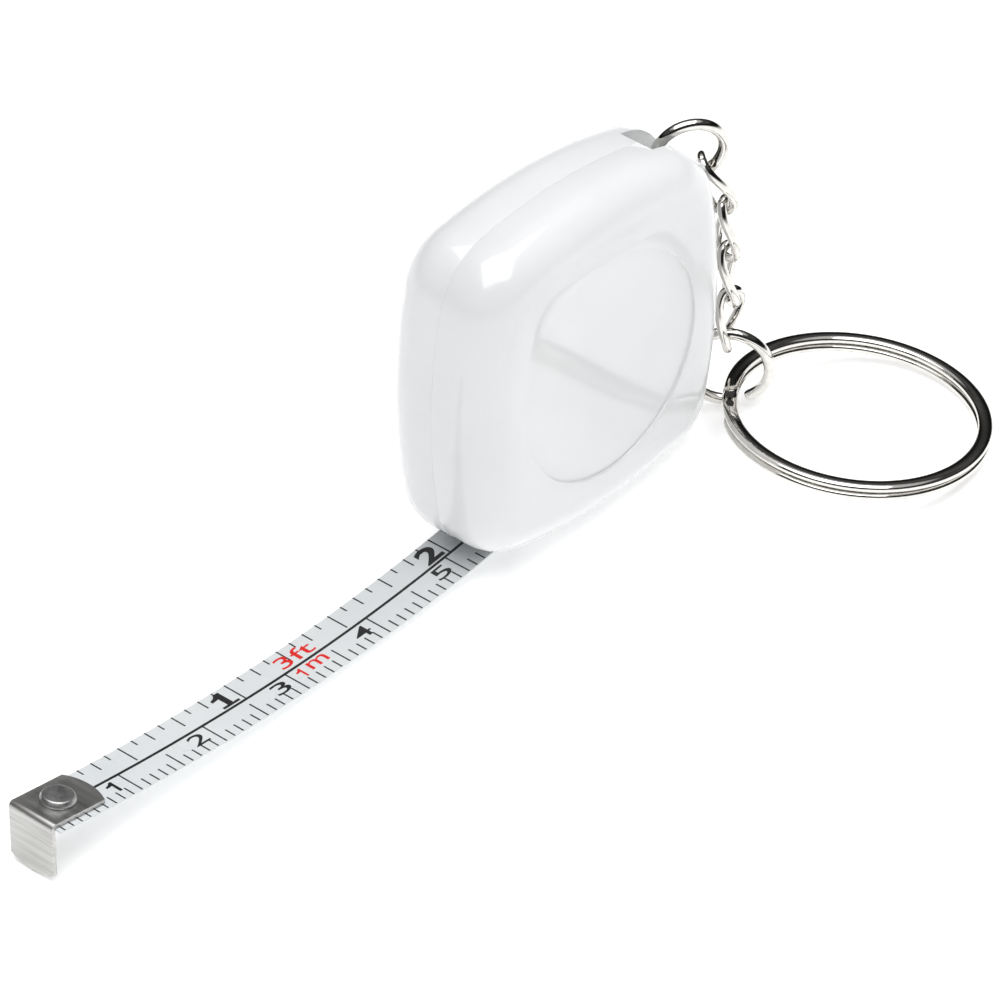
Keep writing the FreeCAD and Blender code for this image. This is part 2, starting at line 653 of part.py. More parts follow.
def build_spool():
    body = new_body("spool_drum")
    pad_from(body, "drum_block", lambda sk: add_circle(sk, 0, 0, "barrel_radius"),
             "dims.spool_low", "dims.spool_high")
    pocket_from(body, "spring_room", draw_spring_room_round_hub,
                "dims.spool_low + dims.web", "dims.spool_high")
    pocket_from(body, "hub_trim", lambda sk: add_circle(sk, 0, 0, "hub_radius"),
                "dims.spool_high - dims.web", "dims.spool_high")
    pocket_from(body, "hub_bore", draw_axle_clearance, "dims.spool_low", "dims.spool_high")
    finish(body, CASE_FRAME)


def build_spring_cover():
    """A thin disc that closes the spring's room and is the brake's running face."""
    body = new_body("spring_cover")
    pad_from(body, "cover_disc", draw_spring_room, "dims.spool_high - dims.web", "dims.spool_high")
    pocket_from(body, "cover_bore", draw_axle_clearance, "dims.spool_high - dims.web", "dims.spool_high")
    finish(body, CASE_FRAME)


def build_axle():
    body = new_body("spool_axle")
    pad_from(body, "axle_tube", lambda sk: add_ring(sk, "axle_bore", "axle_radius"),
             "dims.axle_low", "dims.axle_high")
    finish(body, CASE_FRAME)


def spiral_points(inner, pitch, turns, steps, y):
    """Points of a flat spiral at the given y that starts at the inner radius and grows evenly."""
    count = int(turns * steps)
    points = []
    for index in range(count + 1):
        turn = index / steps
        radius = inner + pitch * turn
        angle = 2 * math.pi * turn
        points.append(Vector(radius * math.cos(angle), y, radius * math.sin(angle)))
    return points


def build_power_spring():
    """A flat spiral strip; a spiral has no sketch form, so its faces are made directly."""
    inner, thick = dim("spring_inner"), dim("spring_thick")
    half = dim("spring_half")
    low = (dim("spool_low") + dim("spool_high")) / 2 - half
    steps = 12
    edges = []
    for radius in (inner, inner + thick):
        curve = Part.BSplineCurve()
        curve.interpolate(spiral_points(radius, dim("spring_pitch"), dim("spring_turns"), steps, low))
        edges.append(curve.toShape())
    for end in (0, -1):
        ends = [edge.Vertexes[end].Point for edge in edges[:2]]
        edges.append(Part.makeLine(*ends))
    strip = Part.Face(Part.Wire(Part.__sortEdges__(edges)))
    piece = doc.addObject("Part::Feature", "power_spring")
    piece.Label = "power_spring"
    piece.Shape = strip.extrude(Vector(0, 2 * half, 0))
    finish(piece, CASE_FRAME)


# ---------------------------------------------------------------- release button and brake

def draw_skirt(sketch):
    add_circle(sketch, 0, 0, "button_radius")
    add_sized_circle(sketch, dim("button_radius") - dim("skirt_wall"),
                     "dims.button_radius - dims.skirt_wall")


def build_button():
    body = new_body("release_button")
    cap_top = "dims.button_low + dims.button_cap"
    cap = pad_from(body, "cap", lambda sk: add_circle(sk, 0, 0, "button_radius"),
                   "dims.button_low", cap_top)
    round_edges(body, "cap_edge", cap, edges_at(cap.Shape, dim("button_low")), "dims.cap_round")
    pad_from(body, "button_skirt", draw_skirt, cap_top, f"{cap_top} + dims.skirt_depth")
    pad_from(body, "button_stem", lambda sk: add_circle(sk, 0, 0, "stem_radius"),
             cap_top, "dims.stem_high")
    finish(body, CASE_FRAME)


def build_button_spring():
    """Compression spring between the button's cap and the cup's floor."""
    low, high = dim("button_low") + dim("button_cap"), dim("cup_floor")
    wire, mean = dim("button_spring_wire"), dim("button_spring_radius")
    play = dim("button_spring_play")
    height = high - low - wire - 2 * play
    turns = dim("button_spring_turns")
    path = Part.Wire(Part.makeHelix(height / turns, height, mean))
    profile = Part.Wire(Part.makeCircle(wire / 2, Vector(mean, 0, 0), Vector(0, 1, 0)))
    coil = path.makePipeShell([profile], True, True)
    piece = doc.addObject("Part::Feature", "button_spring")
    piece.Label = "button_spring"
    piece.Shape = coil
    start = Placement(Vector(0, low + wire / 2 + play, 0), Rotation(Vector(1, 0, 0), -90))
    finish(piece, CASE_FRAME.multiply(start))


def build_brake():
    """The disc on the stem's left end holds a friction pad against the spool's cover."""
    pad = new_body("brake_pad")
    pad_from(pad, "pad_ring", lambda sk: add_ring(sk, "pad_inner", "pad_outer"),
             "dims.pad_low", "dims.pad_low + dims.pad_thick")
    finish(pad, CASE_FRAME)
    disc = new_body("brake_disc")
    disc_low = "dims.pad_low + dims.pad_thick"
    pad_from(disc, "disc_plate", lambda sk: add_ring(sk, "stem_radius", "disc_radius"),
             disc_low, f"{disc_low} + dims.disc_thick")
    finish(disc, CASE_FRAME)
    clip = new_body("stem_clip")
    clip_low = f"{disc_low} + dims.disc_thick"
    pad_from(clip, "clip_plate", lambda sk: add_ring(sk, "stem_radius", "clip_radius"),
             clip_low, f"{clip_low} + dims.clip_thick")
    finish(clip, CASE_FRAME)


# ---------------------------------------------------------------- chain and rings

def ring_frame(centre, normal, towards):
    """A placement with Z along the ring's normal and X towards a direction in its plane."""
    z = Vector(normal).normalize()
    x = towards - z * towards.dot(z)
    return Placement(centre, Rotation(x, z.cross(x), z, "ZXY"))


def build_jump_ring(name, radius, centre, normal, gap_towards):
    """A bent wire ring whose ends leave a small opening."""
    body = new_body(name)
    sketch = new_sketch(body, "XZ_Plane", f"{name}_section")
    wire = dim("ring_wire") / 2
    circle = sketch.addGeometry(Part.Circle(Vector(dim(radius), 0, 0), Vector(0, 0, 1), wire), False)
    bind(sketch, Sketcher.Constraint("Radius", circle, wire), "dims.ring_wire / 2")
    bind(sketch, Sketcher.Constraint("DistanceX", -1, 1, circle, 3, dim(radius)), f"dims.{radius}")
    sketch.addConstraint(Sketcher.Constraint("PointOnObject", circle, 3, -1))
    bent = body.newObject("PartDesign::Revolution", f"{name}_bent")
    bent.Profile = sketch
    bent.ReferenceAxis = (sketch, ["V_Axis"])
    bent.setExpression("Angle", "360 - dims.ring_gap")
    doc.recompute()
    placement = ring_frame(centre, normal, gap_towards)
    half_gap = Placement(Vector(), Rotation(Vector(0, 0, 1), dim("ring_gap") / 2))
    finish(body, placement.multiply(half_gap))


# Which way the rings face, where they open and where the chain bears on them.
CASE_RING_NORMAL = Vector(0.544, 0.827, -0.143)
CASE_RING_OPENING = Vector(0.8, -0.3, -0.3)
CASE_RING_BEARS = Vector(-0.44, 0.17, -0.9)
END_RING_NORMAL = Vector(0.802, 0.596, -0.038)
END_RING_OPENING = Vector(-0.2, 0.3, -1)
END_RING_BEARS = Vector(0, 0, 1)
SPLIT_RING_OPENING = Vector(0.75, -0.66, 0)
CHAIN_OUTWARD = Vector(-1, 1, 0)
LINK_FULLNESS = 0.8     # below 1, a link's sides are straighter than an ellipse's
CASE_RING_CENTRE = Vector(dim("case_ring_x"), dim("case_ring_y"), dim("case_ring_z"))
END_RING_CENTRE = Vector(dim("end_ring_x"), dim("end_ring_y"), dim("end_ring_z"))


def on_ring(centre, normal, radius, towards):
    """The point of a ring's centre line that lies furthest in a direction."""
    z = Vector(normal).normalize()
    flat = (towards - z * towards.dot(z)).normalize()
    return centre + flat * radius


def chain_ends():
    """Where the chain hangs from the upper ring, and where it holds the lower one."""
    top = on_ring(CASE_RING_CENTRE, CASE_RING_NORMAL, dim("case_ring_radius"), CASE_RING_BEARS)
    bottom = on_ring(END_RING_CENTRE, END_RING_NORMAL, dim("end_ring_radius"), END_RING_BEARS)
    return top + Vector(0, 0, dim("top_play")), bottom - Vector(0, 0, dim("bottom_play"))


def link_solid(inner_length):
    """A curb link: an oval of round wire whose two ends are twisted against each other."""
    wire = dim("link_wire") / 2
    half_length = inner_length / 2 + wire
    half_width = dim("link_half_width")
    twist = math.radians(dim("link_twist"))
    steps = 12
    points = []
    for index in range(steps):
        turn = 2 * math.pi * index / steps
        height = half_length * math.sin(turn)
        side = half_width * math.copysign(abs(math.cos(turn)) ** LINK_FULLNESS, math.cos(turn))
        lean = twist * height / (2 * half_length)
        points.append(Vector(side * math.cos(lean), side * math.sin(lean), height))
    curve = Part.BSplineCurve()
    curve.interpolate(points, PeriodicFlag=True)
    middle = (curve.FirstParameter + curve.LastParameter) / 2
    halves = []
    for start, end in ((curve.FirstParameter, middle), (middle, curve.LastParameter)):
        edge = curve.toShape(start, end)
        profile = Part.makeCircle(wire, curve.value(start), curve.tangent(start)[0])
        halves.append(Part.Wire(edge).makePipeShell([Part.Wire(profile)], True, True))
    return halves[0].fuse(halves[1])


def contact_points():
    """Where the links and the two rings bear on each other, from the top down, in a slight bow."""
    top, bottom = chain_ends()
    down = (bottom - top).normalize()
    first = top - down * (dim("ring_wire") / 2)
    last = bottom + down * (dim("ring_wire") / 2)
    outward = Vector(CHAIN_OUTWARD).normalize()
    bows = [0.0] + [dim(f"chain_bow_{index}") for index in range(1, LINK_COUNT)] + [0.0]
    return [first + (last - first) * (index / LINK_COUNT) + outward * bow for index, bow in enumerate(bows)]


def build_chain():
    """Links in a gently bowed run between the two rings, each turned a little from the one above."""
    points = contact_points()
    inner_length = max((low - high).Length for high, low in zip(points, points[1:]))
    solid = link_solid(inner_length + dim("link_slack"))
    for index, (high, low) in enumerate(zip(points, points[1:])):
        up = (high - low).normalize()
        across = Vector(0, 1, 0)
        x = (across - up * across.dot(up)).normalize()
        turned = Placement(Vector(), Rotation(Vector(0, 0, 1), dim("link_turn") + index * dim("link_step")))
        name = f"chain_link_{index + 1}"
        piece = doc.addObject("Part::Feature", name)
        piece.Label = name
        piece.Shape = solid
        upright = Placement((high + low) / 2, Rotation(x, Vector(), up, "ZXY"))
        finish(piece, upright.multiply(turned))


def build_split_ring():
    """Two turns of flat-sided strip lying on each other, like every key ring."""
    width, height = dim("split_ring_width"), dim("split_ring_height")
    pitch, mean = dim("split_ring_pitch"), dim("split_ring_radius")
    turns = 2 - dim("split_ring_gap") / 360
    path = Part.Wire(Part.makeHelix(pitch, pitch * turns, mean))
    inside, outside = mean - width / 2, mean + width / 2
    corners = [Vector(inside, 0, -height / 2), Vector(outside, 0, -height / 2),
               Vector(outside, 0, height / 2), Vector(inside, 0, height / 2)]
    profile = Part.makePolygon(corners + corners[:1])
    coil = path.makePipeShell([profile], True, True)
    piece = doc.addObject("Part::Feature", "split_ring")
    piece.Label = "split_ring"
    piece.Shape = coil
    centre = Vector(dim("split_ring_x"), dim("split_ring_y"), dim("split_ring_z"))
    lean_x, lean_y = dim("split_ring_lean_x"), dim("split_ring_lean_y")
    normal = Vector(lean_x, lean_y, math.sqrt(1 - lean_x ** 2 - lean_y ** 2))
    placement = ring_frame(centre, normal, SPLIT_RING_OPENING)
    drop = Placement(Vector(0, 0, -pitch * turns / 2), Rotation())
    finish(piece, placement.multiply(drop))


# ---------------------------------------------------------------- build, check and export

build_left_shell()
build_right_shell()
build_axle()
build_spool()
build_spring_cover()
build_power_spring()
build_tape()
build_hook()
build_rivet()
build_button()
build_button_spring()
build_brake()
build_jump_ring("case_ring", "case_ring_radius", CASE_RING_CENTRE, CASE_RING_NORMAL, CASE_RING_OPENING)
build_chain()
build_jump_ring("end_ring", "end_ring_radius", END_RING_CENTRE, END_RING_NORMAL, END_RING_OPENING)
build_split_ring()

doc.recompute()
for item in doc.Objects:
    if "Invalid" in item.State or "Error" in item.State:
        raise RuntimeError(f"{item.Label} failed: {item.State}")

os.makedirs("parts", exist_ok=True)
for piece in PIECES:
    shape = piece.Shape
    if shape.isNull() or not shape.isValid():
        raise RuntimeError(f"{piece.Label} has no valid shape")
    shape.exportStep(f"parts/{piece.Label}.step")
    box = shape.BoundBox
    print(f"{piece.Label:16s} solids {len(shape.Solids)} volume {shape.Volume:9.3f} "
          f"x {box.XMin:7.2f} {box.XMax:7.2f} y {box.YMin:7.2f} {box.YMax:7.2f} "
          f"z {box.ZMin:6.2f} {box.ZMax:6.2f}")
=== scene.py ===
"""Looks of a key-ring pocket tape measure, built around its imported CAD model.

Lengths in the constants are millimetres and are turned into metres by MM. The tape is drawn from
two gentle bends, the rings and chain links are swept wire, and the moulded and stamped parts are
the CAD pieces with their sharp edges broken.
"""
import bpy
import bmesh
import math
from mathutils import Matrix, Vector


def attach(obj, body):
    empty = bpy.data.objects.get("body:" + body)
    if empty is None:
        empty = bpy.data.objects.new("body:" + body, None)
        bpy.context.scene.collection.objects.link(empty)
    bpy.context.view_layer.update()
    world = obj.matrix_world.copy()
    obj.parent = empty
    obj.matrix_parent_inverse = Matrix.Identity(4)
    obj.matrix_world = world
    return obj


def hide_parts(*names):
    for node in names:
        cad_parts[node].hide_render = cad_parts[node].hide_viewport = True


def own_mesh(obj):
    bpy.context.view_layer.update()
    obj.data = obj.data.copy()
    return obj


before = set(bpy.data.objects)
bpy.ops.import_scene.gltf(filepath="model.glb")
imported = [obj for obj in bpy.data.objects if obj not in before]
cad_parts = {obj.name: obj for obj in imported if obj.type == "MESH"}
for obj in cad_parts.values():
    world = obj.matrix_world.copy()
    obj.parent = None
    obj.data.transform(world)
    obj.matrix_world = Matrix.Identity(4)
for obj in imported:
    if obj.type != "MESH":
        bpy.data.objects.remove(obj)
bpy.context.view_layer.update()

MM = 0.001


def mm(*values):
    """A vector given in millimetres, in metres."""
    return Vector(values) * MM


# ---------------------------------------------------------------- driving dimensions, in millimetres

TAPE_ZERO = mm(48.79, -10.68, 5.49)       # the scale's zero, at the hook's outer face
TAPE_PITCH = math.radians(3.2)            # front-up tilt of the tape's chord
HOOK_ANGLE = math.radians(8.46)           # slope of the tape behind the hook
BENDS = ((27.0, 216.5), (26.0, 160.8))    # length and radius of the two gentle bends
TAPE_LENGTH = 65.6                        # from the zero to the wound tape
TAPE_START = 0.47                         # the strip begins just behind the hook's tab
TAPE_HALF = 2.8
TAPE_THICK = 0.15
FRONT_LENGTH = 9.0                        # what stays out of the case when the tape is wound in
EDGE_NICK = 0.03                          # how far the strip's edges are rounded off
INK_HEIGHT = 0.012

RING_WIRE = 1.05
CASE_RING = {"centre": mm(-31.43, -8.75, 28.02), "normal": Vector((0.544, 0.827, -0.143)),
             "radius": 3.06, "gap": Vector((0.8, -0.3, -0.3))}
END_RING = {"centre": mm(-33.5, -6.83, 4.53), "normal": Vector((0.802, 0.596, -0.038)),
            "radius": 3.74, "gap": Vector((-0.2, 0.3, -1))}
RING_GAP = math.radians(14.0)
RING_END_ROUNDING = 0.12                  # how much smaller a nipped-off end is than its wire

LINK_COUNT = 4
LINK_WIRE = 0.85
LINK_HALF_WIDTH = 1.4
LINK_TWIST = math.radians(-80.0)
LINK_TURN = math.radians(-7.0)
LINK_STEP = math.radians(-24.0)
LINK_SLACK = 0.24
LINK_FULLNESS = 0.8                       # below 1, a link's sides are straighter than an ellipse's
TOP_PLAY, BOTTOM_PLAY = 0.5, 0.25
CHAIN_BOWS = (0, 1.3, 1.08, 0.86, 0)      # how far the chain's joints stand out from a straight line
CHAIN_OUTWARD = Vector((-1, 1, 0))
TOP_SIDE = Vector((-0.44, 0.17, -0.9))    # the part of the upper ring that the chain hangs from
BOTTOM_SIDE = Vector((0, 0, 1))           # the part of the lower ring that the chain holds

KEY_RING_CENTRE = mm(-37.21, 4.89, 2.66)
KEY_RING_RADIUS = 11.2
KEY_RING_WIDTH, KEY_RING_HEIGHT = 1.35, 0.78
KEY_RING_PITCH = 0.83
KEY_RING_TURNS = 2 - 8 / 360
KEY_RING_FULLNESS = 0.82                  # 1 is an oval wire, less is squarer
KEY_RING_END_SIZE = 0.86                  # how much of its section is left at the nipped-off ends
KEY_RING_LEAN = (-0.1457, 0.0573)
KEY_RING_START = Vector((0.75, -0.66, 0))


# ---------------------------------------------------------------- making objects

def add_object(name, mesh, body):
    """Put a mesh in the scene as a piece that rides on a body."""
    piece = bpy.data.objects.new(name, mesh)
    bpy.context.scene.collection.objects.link(piece)
    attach(piece, body)
    return piece


def mesh_from(name, bm, sharp_angle=35.0):
    """Close a bmesh into a mesh with smooth shading that breaks at sharp edges."""
    bmesh.ops.recalc_face_normals(bm, faces=bm.faces)
    mesh = bpy.data.meshes.new(name)
    bm.to_mesh(mesh)
    bm.free()
    mesh.shade_smooth()
    mesh.set_sharp_from_angle(angle=math.radians(sharp_angle))
    return mesh


def join_loops(bm, one, two):
    """A band of four-sided faces between two loops of corners."""
    count = len(one)
    for index in range(count):
        after = (index + 1) % count
        bm.faces.new((one[index], one[after], two[after], two[index]))


def skin_rings(bm, rings):
    """Join rings of points into a tube that is capped at both ends."""
    loops = [[bm.verts.new(point) for point in ring] for ring in rings]
    for one, two in zip(loops, loops[1:]):
        join_loops(bm, one, two)
    bm.faces.new(loops[0][::-1])
    bm.faces.new(loops[-1])


def skin_closed(bm, rings):
    """A closed tube whose last ring may be turned against the first: the nearest points are joined."""
    first, last = rings[0], rings[-1]
    count = len(first)
    shift = min(range(count), key=lambda s: (first[s] - last[0]).length)
    loops = [[bm.verts.new(point) for point in ring] for ring in rings]
    start = [loops[0][(index + shift) % count] for index in range(count)]
    for one, two in zip(loops, loops[1:] + [start]):
        join_loops(bm, one, two)


def refined_copy(node, width, segments=3, angle=30.0):
    """The node's own mesh with its sharp edges broken by a small round of the given width."""
    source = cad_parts[node]
    bm = bmesh.new()
    bm.from_mesh(source.data)
    same_place, same_plane = 1e-6, math.radians(0.2)
    bmesh.ops.remove_doubles(bm, verts=bm.verts, dist=same_place)
    bmesh.ops.dissolve_limit(bm, angle_limit=same_plane, verts=bm.verts, edges=bm.edges)
    mesh = bpy.data.meshes.new(f"{node}_copy")
    bm.to_mesh(mesh)
    bm.free()
    holder = bpy.data.objects.new(f"{node}_holder", mesh)
    bpy.context.scene.collection.objects.link(holder)
    bevel = holder.modifiers.new("edges", "BEVEL")
    bevel.width = width * MM
    bevel.segments = segments
    bevel.limit_method = "ANGLE"
    bevel.angle_limit = math.radians(angle)
    bevel.use_clamp_overlap = True
    graph = bpy.context.evaluated_depsgraph_get()
    result = bpy.data.meshes.new_from_object(holder.evaluated_get(graph))
    bpy.data.objects.remove(holder)
    result.name = f"{node}_refined"
    result.shade_smooth()
    result.set_sharp_from_angle(angle=math.radians(angle))
    return result


# ---------------------------------------------------------------- materials

NOISE_LOW, NOISE_HIGH = 0.3, 0.7     # the part of the noise's range that is spread out
COAT_ROUGHNESS = 0.06


def new_material(name, colour, roughness, metallic=0.0, coat=0.0):
    material = bpy.data.materials.new(name)
    material.use_nodes = True
    shader = material.node_tree.nodes["Principled BSDF"]
    shader.inputs["Base Color"].default_value = (*colour, 1)
    shader.inputs["Roughness"].default_value = roughness
    shader.inputs["Metallic"].default_value = metallic
    shader.inputs["Coat Weight"].default_value = coat
    shader.inputs["Coat Roughness"].default_value = COAT_ROUGHNESS
    return material


def noise_value(material, scale, detail=4.0, stretch=(1, 1, 1)):
    """Noise over the object's own coordinates, with scale in features for each metre."""
    tree = material.node_tree
    coordinates = tree.nodes.new("ShaderNodeTexCoord")
    mapping = tree.nodes.new("ShaderNodeMapping")
    mapping.inputs["Scale"].default_value = stretch
    noise = tree.nodes.new("ShaderNodeTexNoise")
    noise.inputs["Scale"].default_value = scale
    noise.inputs["Detail"].default_value = detail
    tree.links.new(coordinates.outputs["Object"], mapping.inputs["Vector"])
    tree.links.new(mapping.outputs["Vector"], noise.inputs["Vector"])
    return noise.outputs["Fac"]


def spread(material, value, low, high):
    """Map a noise value onto a range of numbers."""
    tree = material.node_tree
    ranged = tree.nodes.new("ShaderNodeMapRange")
    ranged.inputs["From Min"].default_value = NOISE_LOW
    ranged.inputs["From Max"].default_value = NOISE_HIGH
    ranged.inputs["To Min"].default_value = low
    ranged.inputs["To Max"].default_value = high
    tree.links.new(value, ranged.inputs["Value"])
    return ranged.outputs["Result"]


def vary_colour(material, value, dark, light):
    tree = material.node_tree
    ramp = tree.nodes.new("ShaderNodeValToRGB")
    ramp.color_ramp.elements[0].position = NOISE_LOW
    ramp.color_ramp.elements[0].color = (*dark, 1)
    ramp.color_ramp.elements[1].position = NOISE_HIGH
    ramp.color_ramp.elements[1].color = (*light, 1)
    tree.links.new(value, ramp.inputs["Fac"])
    tree.links.new(ramp.outputs["Color"], tree.nodes["Principled BSDF"].inputs["Base Color"])


def vary_roughness(material, value, low, high):
    tree = material.node_tree
    shader = tree.nodes["Principled BSDF"]
    tree.links.new(spread(material, value, low, high), shader.inputs["Roughness"])


def add_bump(material, value, strength, distance):
    tree = material.node_tree
    bump = tree.nodes.new("ShaderNodeBump")
    bump.inputs["Strength"].default_value = strength
    bump.inputs["Distance"].default_value = distance * MM
    tree.links.new(value, bump.inputs["Height"])
    tree.links.new(bump.outputs["Normal"], tree.nodes["Principled BSDF"].inputs["Normal"])


def moulded_plastic(name, dark, light, rough_low, rough_high, coat):
    """Moulded plastic: a faint flow mottle, uneven gloss and a very fine orange peel."""
    mottle, gloss, peel = 90, 220, 700       # features for each metre
    material = new_material(name, light, rough_low, coat=coat)
    vary_colour(material, noise_value(material, mottle), dark, light)
    vary_roughness(material, noise_value(material, gloss), rough_low, rough_high)
    add_bump(material, noise_value(material, peel, detail=3.0), strength=0.12, distance=0.02)
    return material


def brushed_metal(name, dark, light, rough_low, rough_high, stretch, scale=2600, bump=0.25):
    """Sheet or wire with fine grinding lines; stretch is small along the lines."""
    gloss = 900
    material = new_material(name, light, rough_low, metallic=1.0)
    lines = noise_value(material, scale, 6.0, stretch)
    vary_colour(material, lines, dark, light)
    vary_roughness(material, noise_value(material, gloss, 5.0, stretch), rough_low, rough_high)
    add_bump(material, lines, bump, distance=0.01)
    return material


CASE_PLASTIC = moulded_plastic("white_abs", (0.80, 0.81, 0.82), (0.84, 0.85, 0.86), 0.10, 0.17, 0.35)
BUTTON_PLASTIC = moulded_plastic("white_button", (0.78, 0.79, 0.80), (0.83, 0.84, 0.85), 0.16, 0.24, 0.2)
INNER_PLASTIC = moulded_plastic("black_acetal", (0.02, 0.02, 0.022), (0.035, 0.035, 0.04), 0.35, 0.5, 0.0)
AXLE_PLASTIC = moulded_plastic("natural_acetal", (0.70, 0.70, 0.67), (0.76, 0.76, 0.73), 0.3, 0.42, 0.0)
BRAKE_RUBBER = moulded_plastic("brake_rubber", (0.02, 0.02, 0.02), (0.035, 0.033, 0.03), 0.7, 0.9, 0.0)
ENAMEL = moulded_plastic("tape_enamel", (0.70, 0.73, 0.745), (0.76, 0.785, 0.795), 0.24, 0.36, 0.15)
BLACK_INK = moulded_plastic("black_ink", (0.006, 0.006, 0.007), (0.02, 0.02, 0.022), 0.35, 0.55, 0.0)
RED_INK = moulded_plastic("red_ink", (0.62, 0.012, 0.01), (0.78, 0.02, 0.016), 0.35, 0.55, 0.0)
HOOK_STEEL = brushed_metal("hook_steel", (0.42, 0.42, 0.41), (0.60, 0.595, 0.58), 0.34, 0.48, (1, 0.06, 1))
RIVET_STEEL = brushed_metal("rivet_steel", (0.44, 0.44, 0.44), (0.60, 0.60, 0.595), 0.34, 0.46, (1, 1, 1))
SPRING_STEEL = brushed_metal("spring_steel", (0.16, 0.17, 0.20), (0.28, 0.29, 0.33), 0.25, 0.4, (1, 1, 0.1))
NICKEL = brushed_metal("nickel_plate", (0.66, 0.645, 0.615), (0.76, 0.745, 0.715), 0.05, 0.11, (1, 1, 1),
                       scale=1500, bump=0.06)

NODE_MATERIALS = {
    "left_shell": CASE_PLASTIC, "right_shell": CASE_PLASTIC, "release_button": BUTTON_PLASTIC,
    "spool_axle": AXLE_PLASTIC, "spool_drum": INNER_PLASTIC, "spring_cover": INNER_PLASTIC,
    "brake_disc": INNER_PLASTIC, "brake_pad": BRAKE_RUBBER, "power_spring": SPRING_STEEL,
    "button_spring": SPRING_STEEL, "stem_clip": SPRING_STEEL, "tape_coil": ENAMEL, "tape_blade": ENAMEL,
    "tape_hook": HOOK_STEEL, "hook_rivet": RIVET_STEEL, "case_ring": NICKEL, "end_ring": NICKEL,
    "split_ring": NICKEL,
}
for number in range(1, LINK_COUNT + 1):
    NODE_MATERIALS[f"chain_link_{number}"] = NICKEL


def dress_nodes():
    """Give every CAD node its material."""
    for node, material in NODE_MATERIALS.items():
        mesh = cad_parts[node].data
        mesh.materials.clear()
        mesh.materials.append(material)


# ---------------------------------------------------------------- case, button, hook and rivet

EDGE_BREAKS = {
    # node: (piece name, body, slot, width of the broken edges)
    "left_shell": ("case_left", "case", "case_plastic", 0.17),
    "right_shell": ("case_right", "case", "case_plastic", 0.17),
    "release_button": ("button", "button", "button_plastic", 0.12),
    "tape_hook": ("hook", "tape_end", "hook_steel", 0.07),
    "hook_rivet": ("rivet", "tape_end", "rivet_steel", 0.09),
}


def build_moulded_and_stamped():
    for node, (name, body, slot, width) in EDGE_BREAKS.items():
        mesh = refined_copy(node, width)
        mesh.materials.clear()
        mesh.materials.append(NODE_MATERIALS[node])
        piece = add_object(name, mesh, body)
        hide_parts(node)


# ---------------------------------------------------------------- tape and its scale

def tape_point(along, y, above):
    """A point on the tape: distance from the zero, place across it and height above its top face."""
    x = z = 0.0
    angle = HOOK_ANGLE
    left = along
    for length, radius in BENDS:
        part = min(left, length)
        turned = part / radius
        x -= radius * (math.sin(angle) - math.sin(angle - turned))
        z -= radius * (math.cos(angle - turned) - math.cos(angle))
        angle -= turned
        left -= part
    x -= left * math.cos(angle) + above * math.sin(angle)
    z -= left * math.sin(angle) - above * math.cos(angle)
    tilt = Matrix.Rotation(-TAPE_PITCH, 3, "Y")
    return TAPE_ZERO + tilt @ mm(x, y, z)


def tape_section(along):
    """The strip's cross section: flat faces and slightly rounded edges."""
    half, thick, nick = TAPE_HALF, TAPE_THICK, EDGE_NICK
    outline = [(-half + nick, 0), (half - nick, 0), (half, -nick), (half, nick - thick),
               (half - nick, -thick), (-half + nick, -thick), (-half, nick - thick), (-half, -nick)]
    return [tape_point(along, y, above) for y, above in outline]


def steps_between(low, high, step=0.5):
    """Evenly spaced places from low to high, no further apart than step."""
    rounding_error = 1e-9
    count = max(1, math.ceil((high - low) / step - rounding_error))
    return [low + (high - low) * index / count for index in range(count + 1)]


def add_mark(bm, low, high, y_low, y_high):
    """A printed bar as a thin closed slab that follows the tape."""
    rings = []
    for along in steps_between(low, high, step=1.0):
        rings.append([tape_point(along, y_low, 0.0), tape_point(along, y_high, 0.0),
                      tape_point(along, y_high, INK_HEIGHT), tape_point(along, y_low, INK_HEIGHT)])
    skin_rings(bm, rings)


# The figure 1 as shares of its box: a stem with a flag, and the same with a thicker stem and a foot.
PLAIN_ONE = ((0.54, 0.0), (0.72, 0.0), (0.72, 1.0), (0.56, 1.0), (0.42, 0.84), (0.18, 0.76),
             (0.18, 0.62), (0.54, 0.66))
SLAB_ONE = ((0.04, 0.0), (0.96, 0.0), (0.96, 0.13), (0.65, 0.13), (0.65, 1.0), (0.37, 1.0), (0.23, 0.84),
            (-0.01, 0.76), (-0.01, 0.62), (0.35, 0.66), (0.35, 0.13), (0.04, 0.13))
BOLD = 0.01                  # lettering heavier than this is bold


def add_figure_one(bm, low, high, y_top, y_base, outline):
    """The figure 1, which the plain font draws as a bare bar."""
    levels = []
    for above in (0.0, INK_HEIGHT):
        points = [tape_point(low + (high - low) * u, y_base + (y_top - y_base) * v, above)
                  for u, v in outline]
        levels.append([bm.verts.new(point) for point in points])
    bottom, top = levels
    bm.faces.new(bottom[::-1])
    bm.faces.new(top)
    join_loops(bm, bottom, top)


